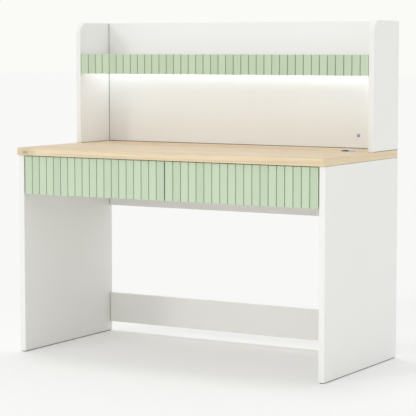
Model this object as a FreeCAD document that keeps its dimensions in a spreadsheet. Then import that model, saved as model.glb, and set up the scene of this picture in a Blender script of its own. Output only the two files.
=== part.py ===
"""Student desk with a hutch, two drawers on telescopic slides and light bars.

Millimetres. X runs to the right, Y to the rear and Z up. The origin lies on the floor below the
middle of the desktop. Each size is one cell of the sheet; each place is a formula of those cells.
"""

import FreeCAD, Part
import os
import re
import Sketcher

SIZES = {
    # Desk
    "desk_height": 750,
    "desktop_width": 1248,
    "desktop_depth": 588,
    "desktop_thickness": 28,
    "desktop_corner_radius": 10,
    "desktop_edge_radius": 4,
    "side_overhang": 2,
    "front_overhang": 13,
    "panel_thickness": 22,
    "cross_board_thickness": 16,
    "apron_height": 224,
    "stretcher_height": 114,
    "stretcher_floor_gap": 38,
    "divider_thickness": 18,
    "divider_lift": 8,
    "board_edge_chamfer": 0.8,
    "reveal_width": 2,
    "reveal_depth": 3,
    # Grooved fronts
    "front_thickness": 18,
    "front_height": 137,
    "front_recess": 2,
    "front_gap": 5,
    "front_top_gap": 3,
    "front_strip_count": 19,
    "finger_bevel": 9,
    "groove_width": 4,
    "groove_depth": 5,
    # Drawer boxes
    "box_board": 12,
    "box_depth": 340,
    "box_lift": 20,
    "tray_thickness": 5,
    "tray_lift": 10,
    "tray_groove_depth": 6,
    "running_clearance": 3,
    # Slides
    "rail_height": 35,
    "rail_length": 350,
    "rail_sheet": 1.2,
    "rail_gap": 1,
    "rail_lip": 1.2,
    "bearing_thickness": 3,
    "bearing_width": 3.6,
    "bearing_clearance": 0.15,
    # Hutch
    "hutch_height": 455,
    "hutch_depth": 206,
    "hutch_side_thickness": 20,
    "hutch_corner_radius": 38,
    "back_thickness": 12,
    "rebate_width": 10,
    "shelf_rise": 336.5,
    "shelf_thickness": 18,
    "fascia_thickness": 18,
    "fascia_height": 73,
    "fascia_recess": 2,
    "fascia_gap": 2.5,
    "fascia_strip_count": 38,
    # Light bars under the shelf
    "light_width": 18,
    "light_height": 9,
    "light_wall": 1.2,
    "light_end_margin": 6,
    "light_setback": 40,
    "light_cap_thickness": 1.5,
    "strip_board_width": 10,
    "strip_board_thickness": 0.8,
    "diffuser_wall": 1,
    "diffuser_leg": 4,
    # Touch switch in the hutch back
    "switch_from_side": 129,
    "switch_rise": 46,
    "switch_flange_diameter": 14,
    "switch_flange_thickness": 1.6,
    "switch_barrel_diameter": 11,
    "switch_barrel_length": 9,
    "switch_rim": 1.8,
    "switch_face_thickness": 1,
    # Cable grommet
    "grommet_from_side": 86,
    "grommet_from_rear": 186,
    "grommet_flange_diameter": 52,
    "grommet_flange_thickness": 1,
    "grommet_barrel_diameter": 44,
    "grommet_barrel_length": 22,
    "grommet_wall": 3,
    "cap_thickness": 3,
    "cap_boss_depth": 4,
    "cap_slot_width": 24,
    "cap_slot_from_centre": 3,
    "swivel_clearance": 0.3,
    # Fastenings
    "glide_height": 3,
    "glide_width": 16,
    "glide_inset": 5,
    "cam_diameter": 15,
    "cam_depth": 12,
    "cam_setback": 34,
    "cam_inset": 45,
    "cam_slot_width": 2,
    "cam_slot_length": 10,
    "cam_slot_depth": 2,
    "bolt_diameter": 6.5,
    "bolt_seat": 11,
    "bracket_leg": 22,
    "bracket_width": 30,
    "bracket_sheet": 2,
    "bracket_inset": 85,
    # Shared by all cuts and seats
    "seat_clearance": 0.1,
    "hole_end_room": 1,
    "cut_overrun": 2,
}

PLACES = {
    # Desk
    "underside": "desk_height - desktop_thickness",
    "rear_plane": "desktop_depth / 2",
    "panel_outer": "desktop_width / 2 - side_overhang",
    "panel_inner": "panel_outer - panel_thickness",
    "panel_middle": "panel_outer - panel_thickness / 2",
    "panel_front": "front_overhang - desktop_depth / 2",
    "apron_face": "rear_plane - cross_board_thickness",
    "apron_bottom": "underside - apron_height",
    "cross_board_middle": "rear_plane - cross_board_thickness / 2",
    "divider_bottom": "front_bottom + divider_lift",
    "divider_front": "front_back + running_clearance",
    "divider_face": "divider_thickness / 2",
    # Drawers
    "front_face": "panel_front + front_recess",
    "front_back": "front_face + front_thickness",
    "front_top": "underside - front_top_gap",
    "front_bottom": "front_top - front_height",
    "front_width": "panel_inner - front_gap * 3 / 2",
    "cell_width": "panel_inner - divider_face",
    "box_width": "cell_width - 2 * slide_space",
    "box_bottom": "front_bottom + box_lift",
    "box_top": "underside - bracket_leg - running_clearance",
    "box_height": "box_top - box_bottom",
    "box_rear": "front_back + box_depth",
    "tray_bottom": "box_bottom + tray_lift",
    "tray_reach": "tray_groove_depth - seat_clearance",
    # Slides, measured from the board that carries the outer rail and from the rail's mid height
    "race": "bearing_thickness + bearing_clearance",
    "track": "bearing_width + bearing_clearance",
    "outer_half": "rail_height / 2",
    "middle_half": "outer_half - rail_sheet - race",
    "inner_half": "middle_half - rail_sheet - race",
    "middle_web": "rail_sheet + rail_gap",
    "inner_edge": "middle_web + rail_sheet + rail_gap",
    "outer_edge": "middle_web + track + 2 * rail_sheet",
    "middle_edge": "inner_edge + track + 2 * rail_sheet",
    "slide_space": "middle_edge + rail_gap + rail_sheet",
    "slide_height": "box_bottom + box_height / 2",
    "slide_front": "front_back + running_clearance",
    # Hutch
    "hutch_front": "rear_plane - hutch_depth",
    "hutch_inner": "panel_outer - hutch_side_thickness",
    "back_face": "rear_plane - back_thickness",
    "back_half_width": "hutch_inner + rebate_width",
    "shelf_top": "desk_height + shelf_rise",
    "shelf_bottom": "shelf_top - shelf_thickness",
    "fascia_face": "hutch_front + fascia_recess",
    "fascia_back": "fascia_face + fascia_thickness",
    "fascia_half_width": "hutch_inner - fascia_gap",
    "light_middle": "back_face - light_setback",
    "light_half_length": "hutch_inner - light_end_margin",
    "light_side_across": "hutch_inner - light_setback",
    "light_side_front": "fascia_back + light_end_margin",
    "light_side_length": "light_middle - light_width / 2 - light_end_margin - light_side_front",
    "switch_across": "hutch_inner - switch_from_side",
    # Grommet, heights measured from the desktop
    "grommet_across": "hutch_inner - grommet_from_side",
    "grommet_middle": "rear_plane - grommet_from_rear",
    "grommet_bore": "grommet_barrel_diameter / 2 - grommet_wall",
    "cap_radius": "grommet_flange_diameter / 2",
    "cap_bottom": "grommet_flange_thickness + swivel_clearance",
    "cap_top": "cap_bottom + cap_thickness",
    "cap_boss_radius": "grommet_bore - swivel_clearance",
}

UP, DOWN = FreeCAD.Vector(0, 0, 1), FreeCAD.Vector(0, 0, -1)
LEFT, RIGHT = FreeCAD.Vector(-1, 0, 0), FreeCAD.Vector(1, 0, 0)
FRONT, REAR = FreeCAD.Vector(0, -1, 0), FreeCAD.Vector(0, 1, 0)
HALF_TURN = 180
SHARP_ANGLE = 0.2  # radians

doc = FreeCAD.newDocument("student_desk")
sheet = doc.addObject("Spreadsheet::Sheet", "Sizes")
for row, (alias, number) in enumerate(SIZES.items(), start=1):
    sheet.set(f"A{row}", alias)
    sheet.set(f"B{row}", str(number))
    sheet.setAlias(f"B{row}", alias)
doc.recompute()

blanks = {}  # piece label: its shape before drilling
cutters = {}  # piece label: the tools that cut it


def formula(text):
    """Write size and place names as terms of the sheet."""
    def term(match):
        word = match.group()
        if word in SIZES:
            return f"Sizes.{word}"
        if word in PLACES:
            return f"({formula(PLACES[word])})"
        return word
    return re.sub(r"[a-z][a-z_]*", term, text)


def value(text):
    """Number that a formula gives now."""
    return float(sheet.evalExpression(formula(text)))


def bind(thing, **formulas):
    """Tie properties of an object to formulas."""
    for name, text in formulas.items():
        thing.setExpression(name, formula(text))


def turn_to(direction):
    """Rotation that takes up to the direction."""
    return FreeCAD.Rotation(UP, direction)


def move(thing, at, rotation=None):
    """Place an object by formulas for X, Y and Z."""
    if rotation:
        thing.Placement = FreeCAD.Placement(FreeCAD.Vector(), rotation)
    for axis, text in zip("xyz", at):
        thing.setExpression(f"Placement.Base.{axis}", formula(text))


def along(at, direction, distance):
    """Point at a distance from another, as formulas."""
    steps = (direction.x, direction.y, direction.z)
    return tuple(f"{text} + {step:.0f} * ({distance})" for text, step in zip(at, steps))


def mirrored(side, text):
    """Formula for the left (-1) or right (1) side of the desk."""
    return f"{side} * ({text})"


def new_body(label):
    """Empty body with a label."""
    body = doc.addObject("PartDesign::Body", label)
    body.Label = label
    return body


def draw(body, plane, corners):
    """Closed outline on an origin plane of the body, each corner held by two formulas."""
    sketch = body.newObject("Sketcher::SketchObject", f"{body.Name}_outline")
    support = next(item for item in body.Origin.OriginFeatures if item.Role == plane)
    sketch.AttachmentSupport = (support, [""])
    sketch.MapMode = "FlatFace"
    points = [FreeCAD.Vector(value(x), value(y), 0) for x, y in corners]
    lines = []
    for start, end in zip(points, points[1:] + points[:1]):
        lines.append(sketch.addGeometry(Part.LineSegment(start, end), False))
    for line, following in zip(lines, lines[1:] + lines[:1]):
        sketch.addConstraint(Sketcher.Constraint("Coincident", line, 2, following, 1))
    for line, point, (x, y) in zip(lines, points, corners):
        across = sketch.addConstraint(Sketcher.Constraint("DistanceX", -1, 1, line, 1, point.x))
        sketch.setExpression(f"Constraints[{across}]", formula(x))
        upward = sketch.addConstraint(Sketcher.Constraint("DistanceY", -1, 1, line, 1, point.y))
        sketch.setExpression(f"Constraints[{upward}]", formula(y))
    return sketch


def pad(body, plane, corners, length, reverse=False):
    """Extrude an outline."""
    feature = body.newObject("PartDesign::Pad", f"{body.Name}_pad")
    feature.Profile = draw(body, plane, corners)
    feature.Reversed = reverse
    bind(feature, Length=length)
    doc.recompute()
    return feature


def pocket(body, plane, corners):
    """Cut an outline on the XY plane through everything above it."""
    feature = body.newObject("PartDesign::Pocket", f"{body.Name}_pocket")
    feature.Profile = draw(body, plane, corners)
    feature.Type = "ThroughAll"
    feature.Reversed = True
    doc.recompute()
    return feature


def turned(label, corners):
    """Body of revolution about Z from an outline of radius and height."""
    body = new_body(label)
    sketch = draw(body, "XZ_Plane", corners)
    feature = body.newObject("PartDesign::Revolution", f"{label}_revolution")
    feature.Profile = sketch
    feature.ReferenceAxis = (sketch, ["V_Axis"])
    feature.Angle = 2 * HALF_TURN
    doc.recompute()
    return body


def rectangle(left, right, low, high):
    """Corners of a rectangle."""
    return [(left, low), (right, low), (right, high), (left, high)]


def sharp_edges(shape, keep=None):
    """Names of the edges between faces that meet at an angle."""
    names = []
    for number, edge in enumerate(shape.Edges, start=1):
        middle = edge.valueAt((edge.FirstParameter + edge.LastParameter) / 2)
        faces = shape.ancestorsOfType(edge, Part.Face)
        normals = [face.normalAt(*face.Surface.parameter(middle)) for face in faces]
        if normals[0].getAngle(normals[-1]) > SHARP_ANGLE and (keep is None or keep(edge, middle)):
            names.append(f"Edge{number}")
    return names


def round_edges(body, radius, keep=None):
    """Round the sharp edges of the body, all of them or those that keep() picks."""
    base = body.Tip
    feature = body.newObject("PartDesign::Fillet", f"{body.Name}_round")
    feature.Base = (base, sharp_edges(base.Shape, keep))
    bind(feature, Radius=radius)
    doc.recompute()


def bevel_edges(body, size, keep=None):
    """Bevel the sharp edges of the body, all of them or those that keep() picks."""
    base = body.Tip
    feature = body.newObject("PartDesign::Chamfer", f"{body.Name}_bevel")
    feature.Base = (base, sharp_edges(base.Shape, keep))
    bind(feature, Size=size)
    doc.recompute()


def add_blank(label, shape):
    """Register a piece that later cuts may drill."""
    blanks[label] = shape
    cutters[label] = []


def board(label, size, at):
    """Board with edged, lightly bevelled sides, its low corner at a point."""
    body = new_body(f"{label}_blank")
    pad(body, "XY_Plane", rectangle("0", size[0], "0", size[1]), size[2])
    bevel_edges(body, "board_edge_chamfer")
    move(body, at)
    add_blank(label, body)


def block(name, size, at):
    """Plain box."""
    box = doc.addObject("Part::Box", name)
    bind(box, Length=size[0], Width=size[1], Height=size[2])
    move(box, at)
    return box


def rod(name, diameter, length, at, direction):
    """Plain cylinder that starts at a point and runs in a direction."""
    cylinder = doc.addObject("Part::Cylinder", name)
    bind(cylinder, Radius=f"({diameter}) / 2", Height=length)
    move(cylinder, at, turn_to(direction))
    return cylinder


def copy_of(master, at, rotation):
    """Linked copy of a master shape."""
    link = doc.addObject("App::Link", f"{master.Name}_copy")
    link.LinkedObject = master
    move(link, at, rotation)
    return link


def gather(label, members):
    """Group of separate solids under one label."""
    group = doc.addObject("Part::Compound", label)
    group.Links = members
    return group


def cut(label, base, tools):
    """Base shape less its tools."""
    result = doc.addObject("Part::Cut", label)
    result.Base = base
    result.Tool = gather(f"{label}_tools", tools)
    return result


def fasten(label, fastener, hole, spots):
    """Set one fastener at each spot and sink its hole in the boards named there."""
    members = []
    for at, rotation, boards in spots:
        members.append(copy_of(fastener, at, rotation))
        for name in boards:
            cutters[name].append(copy_of(hole, at, rotation))
    add_blank(label, gather(f"{label}_blank", members))


def grooved_board(label, width, thickness, height, strips, at, bevel=None):
    """Board whose front is cut into equal strips by upright V grooves."""
    body = new_body(f"{label}_blank")
    pad(body, "XY_Plane", rectangle("0", width, "0", thickness), height)
    if bevel:
        rear, low = value(thickness) / 2, value(height) / 2
        bevel_edges(body, bevel, lambda edge, middle: middle.y > rear and middle.z < low
                    and edge.BoundBox.XLength > edge.Length / 2)
    pitch = f"({width}) / {strips}"
    flare = "groove_width / 2 * (groove_depth + cut_overrun) / groove_depth"
    groove = pocket(body, "XY_Plane", [
        (f"{pitch} - {flare}", "-cut_overrun"),
        (f"{pitch} + {flare}", "-cut_overrun"),
        (pitch, "groove_depth"),
    ])
    row = body.newObject("PartDesign::LinearPattern", f"{label}_grooves")
    row.Originals = [groove]
    row.Direction = (groove.Profile[0], ["H_Axis"])
    bind(row, Length=f"{pitch} * ({strips} - 2)", Occurrences=f"{strips} - 1")
    body.Tip = row
    move(body, at)
    add_blank(label, body)


def reveal(label, name, face, across, upward):
    """Cut a shadow line in the front face of a board, over a start and length across and upward."""
    cutters[label].append(block(
        f"{label}_{name}_reveal", (across[1], "reveal_depth + cut_overrun", upward[1]),
        (across[0], f"{face} - cut_overrun", upward[0])))


def build_desk():
    """Desktop, side panels, apron, stretcher and divider."""
    body = new_body("desktop_blank")
    half_width, half_depth = "desktop_width / 2", "desktop_depth / 2"
    outline = rectangle(f"-{half_width}", half_width, f"-{half_depth}", half_depth)
    pad(body, "XY_Plane", outline, "desktop_thickness")
    round_edges(body, "desktop_corner_radius", lambda edge, middle: edge.BoundBox.ZLength > edge.Length / 2)
    round_edges(body, "desktop_edge_radius")
    move(body, ("0", "0", "underside"))
    add_blank("desktop", body)

    panel_size = ("panel_thickness", "rear_plane - panel_front", "underside - glide_height")
    board("left_side_panel", panel_size, ("-panel_outer", "panel_front", "glide_height"))
    board("right_side_panel", panel_size, ("panel_inner", "panel_front", "glide_height"))
    board("rear_apron", ("2 * panel_inner", "cross_board_thickness", "apron_height"),
          ("-panel_inner", "apron_face", "apron_bottom"))
    board("lower_stretcher", ("2 * panel_inner", "cross_board_thickness", "stretcher_height"),
          ("-panel_inner", "apron_face", "stretcher_floor_gap"))
    board("centre_divider",
          ("divider_thickness", "apron_face - divider_front", "underside - divider_bottom"),
          ("-divider_face", "divider_front", "divider_bottom"))
    for label, low, height in (("rear_apron", "apron_bottom", "apron_height"),
                               ("lower_stretcher", "stretcher_floor_gap", "stretcher_height")):
        full_height = (f"{low} - cut_overrun", f"{height} + 2 * cut_overrun")
        for side, start in (("left", "-panel_inner - cut_overrun"), ("right", "panel_inner - reveal_width")):
            reveal(label, side, "apron_face", (start, "reveal_width + cut_overrun"), full_height)


def build_hutch():
    """Hutch sides, back, shelf and grooved fascia."""
    for side, name in ((-1, "left"), (1, "right")):
        label = f"hutch_{name}_side"
        body = new_body(f"{label}_blank")
        pad(body, "XY_Plane",
            rectangle("0", "hutch_side_thickness", "0", "hutch_depth"), "hutch_height")
        front, high = value("hutch_depth") / 2, value("hutch_height") / 2
        round_edges(body, "hutch_corner_radius", lambda edge, middle: middle.y < front
                    and middle.z > high and edge.BoundBox.XLength > edge.Length / 2)
        bevel_edges(body, "board_edge_chamfer")
        move(body, ("-panel_outer" if side < 0 else "hutch_inner", "hutch_front", "desk_height"))
        add_blank(label, body)
        rebate_left = "-back_half_width" if side < 0 else "hutch_inner - cut_overrun"
        cutters[label].append(block(
            f"{label}_rebate",
            ("rebate_width + cut_overrun", "back_thickness + cut_overrun", "hutch_height + 2 * cut_overrun"),
            (rebate_left, "back_face", "desk_height - cut_overrun")))

    board("hutch_back_panel", ("2 * back_half_width", "back_thickness", "hutch_height"),
          ("-back_half_width", "back_face", "desk_height"))
    full_height = ("desk_height - cut_overrun", "hutch_height + 2 * cut_overrun")
    for side, start in (("left", "-hutch_inner"), ("right", "hutch_inner - reveal_width")):
        reveal("hutch_back_panel", side, "back_face", (start, "reveal_width"), full_height)
    reveal("hutch_back_panel", "foot", "back_face", ("-hutch_inner", "2 * hutch_inner"),
           ("desk_height - cut_overrun", "reveal_width + cut_overrun"))
    board("hutch_shelf", ("2 * hutch_inner", "back_face - fascia_back", "shelf_thickness"),
          ("-hutch_inner", "fascia_back", "shelf_bottom"))
    grooved_board("hutch_fascia", "2 * fascia_half_width", "fascia_thickness", "fascia_height",
                  "fascia_strip_count", ("-fascia_half_width", "fascia_face", "shelf_top - fascia_height"))


def build_light():
    """Light bars under the shelf, along the back and both sides: channels, boards, diffusers and end caps."""
    half, inside = "light_width / 2", "light_width / 2 - light_wall"
    roof, low = "-light_wall", "-light_height"
    reach = f"{inside} - seat_clearance"
    hollow = f"{reach} - diffuser_wall"
    plate = f"{low} + diffuser_wall"
    leg = f"{low} + diffuser_leg"
    outlines = {
        "light_channel": [
            (f"-{half}", "0"), (f"-{half}", low), (f"-({inside})", low), (f"-({inside})", roof),
            (inside, roof), (inside, low), (half, low), (half, "0"),
        ],
        "light_diffuser": [
            (f"-({reach})", low), (reach, low), (reach, leg), (hollow, leg),
            (hollow, plate), (f"-({hollow})", plate), (f"-({hollow})", leg), (f"-({reach})", leg),
        ],
        "light_strip_board": rectangle(
            "-strip_board_width / 2", "strip_board_width / 2", f"{roof} - strip_board_thickness", roof),
    }
    bars = [(("-light_half_length", "light_middle", "shelf_bottom"), "2 * light_half_length", RIGHT)]
    for side in (-1, 1):
        at = (mirrored(side, "light_side_across"), "light_side_front", "shelf_bottom")
        bars.append((at, "light_side_length", REAR))

    for label, outline in outlines.items():
        members = []
        for at, length, way in bars:
            member = new_body(f"{label}_bar")
            pad(member, "YZ_Plane", outline, length)
            move(member, at, FreeCAD.Rotation(RIGHT, way))
            members.append(member)
        add_blank(label, gather(f"{label}_blank", members))

    cap = new_body("light_cap")
    pad(cap, "YZ_Plane", rectangle(f"-{half}", half, low, "0"), "light_cap_thickness")
    ends = []
    for at, length, way in bars:
        for distance in ("-light_cap_thickness", length):
            ends.append(copy_of(cap, along(at, way, distance), FreeCAD.Rotation(RIGHT, way)))
    add_blank("light_end_caps", gather("light_end_caps_blank", ends))


def build_switch():
    """Touch switch: flanged housing through the hutch back, and its touch face."""
    at = ("switch_across", "back_face", "desk_height + switch_rise")
    barrel, flange = "switch_barrel_diameter / 2", "switch_flange_diameter / 2"
    floor = "switch_flange_thickness - switch_face_thickness"
    recess = f"{flange} - switch_rim"
    housing = turned("switch_housing_blank", [
        ("0", "-switch_barrel_length"), (barrel, "-switch_barrel_length"), (barrel, "0"), (flange, "0"),
        (flange, "switch_flange_thickness"), (recess, "switch_flange_thickness"), (recess, floor),
        ("0", floor),
    ])
    face = turned("switch_touch_face_blank", rectangle(
        "0", f"{recess} - seat_clearance", floor, "switch_flange_thickness"))
    for label, body in (("switch_housing", housing), ("switch_touch_face", face)):
        move(body, at, turn_to(FRONT))
        add_blank(label, body)
    cutters["hutch_back_panel"].append(rod(
        "switch_hole", "switch_barrel_diameter + 2 * seat_clearance",
        "back_thickness + 2 * cut_overrun", along(at, FRONT, "cut_overrun"), REAR))


def build_grommet():
    """Cable grommet: flanged sleeve in the desktop, and a swivel cap whose boss turns in the sleeve."""
    at = ("grommet_across", "grommet_middle", "desk_height")
    barrel, flange = "grommet_barrel_diameter / 2", "grommet_flange_diameter / 2"
    rim, low = "grommet_flange_thickness", "-grommet_barrel_length"
    sleeve = turned("grommet_sleeve_blank", [
        ("grommet_bore", low), ("grommet_bore", rim), (flange, rim), (flange, "0"), (barrel, "0"),
        (barrel, low),
    ])
    cap = turned("grommet_cap_blank", [
        ("0", "-cap_boss_depth"), ("cap_boss_radius", "-cap_boss_depth"), ("cap_boss_radius", "cap_bottom"),
        ("cap_radius", "cap_bottom"), ("cap_radius", "cap_top"), ("0", "cap_top"),
    ])
    for label, body in (("grommet_sleeve", sleeve), ("grommet_cap", cap)):
        move(body, at)
        add_blank(label, body)
    cutters["desktop"].append(rod(
        "grommet_hole", "grommet_barrel_diameter + 2 * seat_clearance",
        "desktop_thickness + 2 * cut_overrun", along(at, UP, "cut_overrun"), DOWN))
    cutters["grommet_cap"].append(block(
        "grommet_slot",
        ("cap_slot_width", "cap_radius + cut_overrun - cap_slot_from_centre",
         "cap_top + cap_boss_depth + 2 * cut_overrun"),
        ("grommet_across - cap_slot_width / 2", "grommet_middle - cap_radius - cut_overrun",
         "desk_height - cap_boss_depth - cut_overrun")))


def build_drawer(name, cell_left, front_left):
    """Grooved front and five-board box of one drawer."""
    drawer = f"{name}_drawer"
    box_left = f"{cell_left} + slide_space"
    inside_left = f"{box_left} + box_board"
    inside_width = "box_width - 2 * box_board"
    inside_right = f"{box_left} + box_width - box_board"
    grooved_board(f"{drawer}_front", "front_width", "front_thickness", "front_height",
                  "front_strip_count", (front_left, "front_face", "front_bottom"), "finger_bevel")
    boards = {
        f"{drawer}_left_side": (("box_board", "box_depth", "box_height"),
                                (box_left, "front_back", "box_bottom")),
        f"{drawer}_right_side": (("box_board", "box_depth", "box_height"),
                                 (inside_right, "front_back", "box_bottom")),
        f"{drawer}_inner_front": ((inside_width, "box_board", "box_height"),
                                  (inside_left, "front_back", "box_bottom")),
        f"{drawer}_back": ((inside_width, "box_board", "box_height"),
                           (inside_left, "box_rear - box_board", "box_bottom")),
    }
    groove_size = (f"{inside_width} + 2 * tray_groove_depth",
                   "box_depth - 2 * box_board + 2 * tray_groove_depth",
                   "tray_thickness + seat_clearance")
    groove_at = (f"{inside_left} - tray_groove_depth",
                 "front_back + box_board - tray_groove_depth", "tray_bottom")
    groove = block(f"{drawer}_tray_groove", groove_size, groove_at)
    for label, (size, at) in boards.items():
        add_blank(label, block(f"{label}_blank", size, at))
        cutters[label].append(groove)
    add_blank(f"{drawer}_bottom", block(
        f"{drawer}_bottom_blank",
        (f"{inside_width} + 2 * tray_reach", "box_depth - 2 * box_board + 2 * tray_reach",
         "tray_thickness"),
        (f"{inside_left} - tray_reach", "front_back + box_board - tray_reach", "tray_bottom")))


def rail_outlines(hand):
    """Sections of the outer, middle and inner rail, across (to the drawer) and up."""
    upper = {
        "outer": [
            ("rail_sheet", "outer_half - rail_sheet"),
            ("outer_edge - rail_sheet", "outer_half - rail_sheet"),
            ("outer_edge - rail_sheet", "outer_half - rail_sheet - rail_lip"),
            ("outer_edge", "outer_half - rail_sheet - rail_lip"),
            ("outer_edge", "outer_half"),
            ("0", "outer_half"),
        ],
        "middle": [
            ("middle_web + rail_sheet", "middle_half - rail_sheet"),
            ("middle_edge - rail_sheet", "middle_half - rail_sheet"),
            ("middle_edge - rail_sheet", "middle_half - rail_sheet - rail_lip"),
            ("middle_edge", "middle_half - rail_sheet - rail_lip"),
            ("middle_edge", "middle_half"),
            ("middle_web + rail_sheet", "middle_half"),
            ("middle_web + rail_sheet", "middle_half + rail_lip"),
            ("middle_web", "middle_half + rail_lip"),
        ],
        "inner": [
            ("slide_space - rail_sheet", "inner_half - rail_sheet"),
            ("inner_edge", "inner_half - rail_sheet"),
            ("inner_edge", "inner_half + rail_lip"),
            ("inner_edge + rail_sheet", "inner_half + rail_lip"),
            ("inner_edge + rail_sheet", "inner_half"),
            ("slide_space", "inner_half"),
        ],
    }
    sections = {}
    for member, half in upper.items():
        top = [(f"{hand} * ({x})", z) for x, z in half]
        bottom = [(x, f"-({z})") for x, z in reversed(top)]
        sections[member] = top + bottom
    return sections


def build_slides(name, cell_left):
    """Two three-part slides of one drawer, with bearing strips in the races of the middle rails."""
    drawer = f"{name}_drawer"
    strips = []
    cell_right = f"{cell_left} + cell_width"
    for side, hand, x in (("left", 1, cell_left), ("right", -1, cell_right)):
        for member, section in rail_outlines(hand).items():
            label = f"{drawer}_{side}_{member}_rail"
            body = new_body(f"{label}_blank")
            pad(body, "XZ_Plane", section, "rail_length", reverse=True)
            move(body, (x, "slide_front", "slide_height"))
            add_blank(label, body)
        outer_race = ("middle_web + rail_sheet", "middle_half")
        inner_race = ("middle_edge - rail_sheet - bearing_width",
                      "middle_half - rail_sheet - bearing_thickness")
        for across, up in (outer_race, inner_race):
            near = f"{x} + {across}" if hand > 0 else f"{x} - ({across}) - bearing_width"
            for low in (f"slide_height + {up}", f"slide_height - ({up}) - bearing_thickness"):
                strips.append(block(f"{drawer}_{side}_strip",
                                    ("bearing_width", "rail_length", "bearing_thickness"),
                                    (near, "slide_front", low)))
    add_blank(f"{drawer}_bearing_strips", gather(f"{drawer}_bearing_strips_blank", strips))


def build_glides():
    """Glide strips along the feet of the side panels."""
    glide = new_body("glide")
    half_width = "glide_width / 2"
    outline = rectangle(f"-{half_width}", half_width, "panel_front + glide_inset", "rear_plane - glide_inset")
    pad(glide, "XY_Plane", outline, "glide_height")
    bevel_edges(glide, "board_edge_chamfer")
    spots = [copy_of(glide, (mirrored(side, "panel_middle"), "0", "0"), turn_to(UP)) for side in (-1, 1)]
    add_blank("floor_glides", gather("floor_glides_blank", spots))


def build_cam_fittings():
    """Cam locks in the rear of apron and stretcher, and their bolts in the side panels."""
    shaft, cam_radius = "bolt_diameter / 2", "cam_diameter / 2"
    bolt = turned("cam_bolt", rectangle(
        "0", shaft, "-bolt_seat", f"cam_setback - {cam_radius} - seat_clearance"))
    bolt_hole = turned("cam_bolt_hole", rectangle(
        "0", f"{shaft} + seat_clearance", "-bolt_seat - hole_end_room", "cam_setback"))
    disc = turned("cam_disc", rectangle("0", cam_radius, "0", "cam_depth"))
    slot_half, slot_reach = "cam_slot_width / 2", "cam_slot_length / 2"
    cam = cut("cam", disc, [
        block("cam_slot_across", ("cam_slot_length", "cam_slot_width", "cam_slot_depth + cut_overrun"),
              (f"-{slot_reach}", f"-{slot_half}", "-cut_overrun")),
        block("cam_slot_along", ("cam_slot_width", "cam_slot_length", "cam_slot_depth + cut_overrun"),
              (f"-{slot_half}", f"-{slot_reach}", "-cut_overrun")),
    ])
    cam_hole = turned("cam_hole", rectangle(
        "0", f"{cam_radius} + seat_clearance", "0", "cam_depth + hole_end_room"))

    bolts, cams = [], []
    levels = (("rear_apron", "underside - cam_inset"), ("rear_apron", "apron_bottom + cam_inset"),
              ("lower_stretcher", "stretcher_floor_gap + stretcher_height / 2"))
    for side, name, inward in ((-1, "left", RIGHT), (1, "right", LEFT)):
        for cross_board, z in levels:
            bolts.append(((mirrored(side, "panel_inner"), "cross_board_middle", z), turn_to(inward),
                          (f"{name}_side_panel", cross_board)))
            cams.append(((mirrored(side, "panel_inner - cam_setback"), "rear_plane", z),
                         turn_to(FRONT), (cross_board,)))
    fasten("cam_bolts", bolt, bolt_hole, bolts)
    fasten("cam_locks", cam, cam_hole, cams)


def build_brackets():
    """Angle brackets that hold the desktop to the side panels and the divider."""
    half = "bracket_width / 2"
    bracket = doc.addObject("Part::Fuse", "bracket")
    bracket.Refine = True
    bracket.Base = block("bracket_upright", ("bracket_sheet", "bracket_width", "bracket_leg"),
                         ("0", f"-{half}", "-bracket_leg"))
    bracket.Tool = block("bracket_flat", ("bracket_leg", "bracket_width", "bracket_sheet"),
                         ("0", f"-{half}", "-bracket_sheet"))
    front, rear = "front_back + bracket_inset", "apron_face - bracket_inset"
    members = []
    for x, angle, y in (("-panel_inner", 0, front), ("-panel_inner", 0, rear),
                        ("panel_inner", HALF_TURN, front), ("panel_inner", HALF_TURN, rear),
                        ("-divider_face", HALF_TURN, front), ("divider_face", 0, rear)):
        members.append(copy_of(bracket, (x, y, "underside"), FreeCAD.Rotation(UP, angle)))
    add_blank("desktop_brackets", gather("desktop_brackets_blank", members))


def write_pieces():
    """Drill each piece, check the whole document and write one file for each piece."""
    pieces = {}
    for label, blank in blanks.items():
        piece = cut(label, blank, cutters[label]) if cutters[label] else blank
        piece.Label = label
        pieces[label] = piece
    doc.recompute()
    for item in doc.Objects:
        if "Invalid" in item.State or "Error" in item.State:
            raise RuntimeError(f"{item.Label} failed: {item.State}")
    os.makedirs("parts", exist_ok=True)
    for label, piece in pieces.items():
        if piece.Shape.isNull() or not piece.Shape.isValid() or not piece.Shape.Solids:
            raise RuntimeError(f"{label} is no valid solid")
        piece.Shape.exportStep(f"parts/{label}.step")
        print(label, len(piece.Shape.Solids), piece.Shape.BoundBox)


build_desk()
build_hutch()
build_light()
build_switch()
build_grommet()
build_drawer("left", "-panel_inner", "-panel_inner + front_gap")
build_drawer("right", "divider_face", "front_gap / 2")
build_slides("left", "-panel_inner")
build_slides("right", "divider_face")
build_glides()
build_cam_fittings()
build_brackets()
write_pieces()
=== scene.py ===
"""Finishes, small fittings and studio for a student desk with a hutch."""

import math

import bmesh
import bpy
from mathutils import Matrix, Vector


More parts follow.
